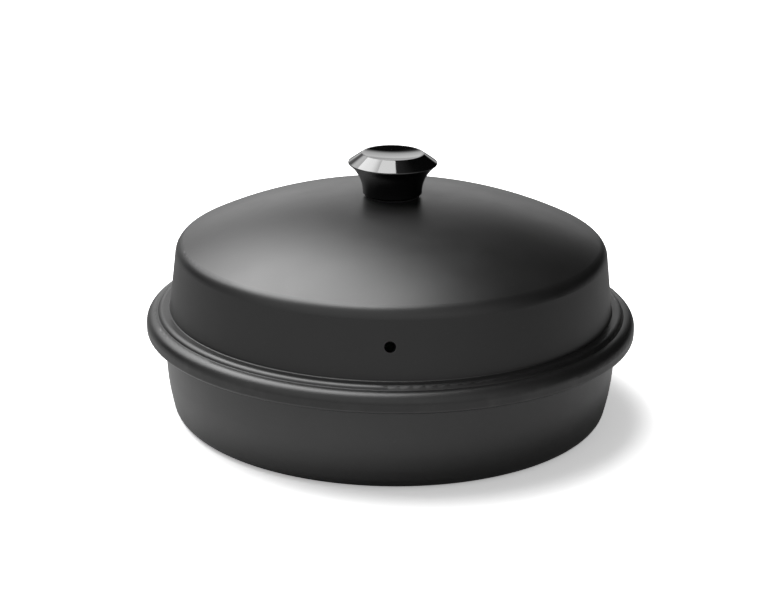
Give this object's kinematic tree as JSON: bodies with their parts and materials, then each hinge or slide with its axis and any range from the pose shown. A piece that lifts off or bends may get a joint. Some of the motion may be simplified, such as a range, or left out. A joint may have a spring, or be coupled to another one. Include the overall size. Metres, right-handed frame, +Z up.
{
  "type": "stovetop oven",
  "caption": "Round stovetop oven: a base shell with a flame hole, a ring mould hung in it by its rim, and a domed, vented lid with a knob.",
  "frame": {"origin": "centre of the base's underside, on the surface that the oven stands on", "axes": "+Z up along the vessels' common axis, -Y towards the front, where the first lid vent is"},
  "size_m": [0.25, 0.25, 0.1346],
  "materials": {
    "base_coat": "satin dark heat-resistant coat on steel",
    "mould_aluminium": "satin spun aluminium",
    "lid_coat": "satin dark heat-resistant coat all over the aluminium",
    "seat_fibre": "matt",
    "knob_gloss": "moulded gloss",
    "insert_brass": "machined",
    "fixing_steel": "zinc plated"
  },
  "bodies": {
    "base": {"base_shell": "base_coat"},
    "mould": {"baking_mould": "mould_aluminium"},
    "lid": {"lid_shell": "lid_coat", "knob_seat_washer": "seat_fibre", "knob_body": "knob_gloss", "knob_insert": "insert_brass", "knob_screw": "fixing_steel", "lock_washer": "fixing_steel", "flat_washer": "fixing_steel"}
  },
  "joints": [
    {"name": "mould_lift", "type": "slide", "parent": "base", "child": "mould", "axis": [0, 0, 1], "range_m": [0, 0.08]},
    {"name": "lid_lift", "type": "slide", "parent": "mould", "child": "lid", "axis": [0, 0, 1], "range_m": [0, 0.09]}
  ]
}
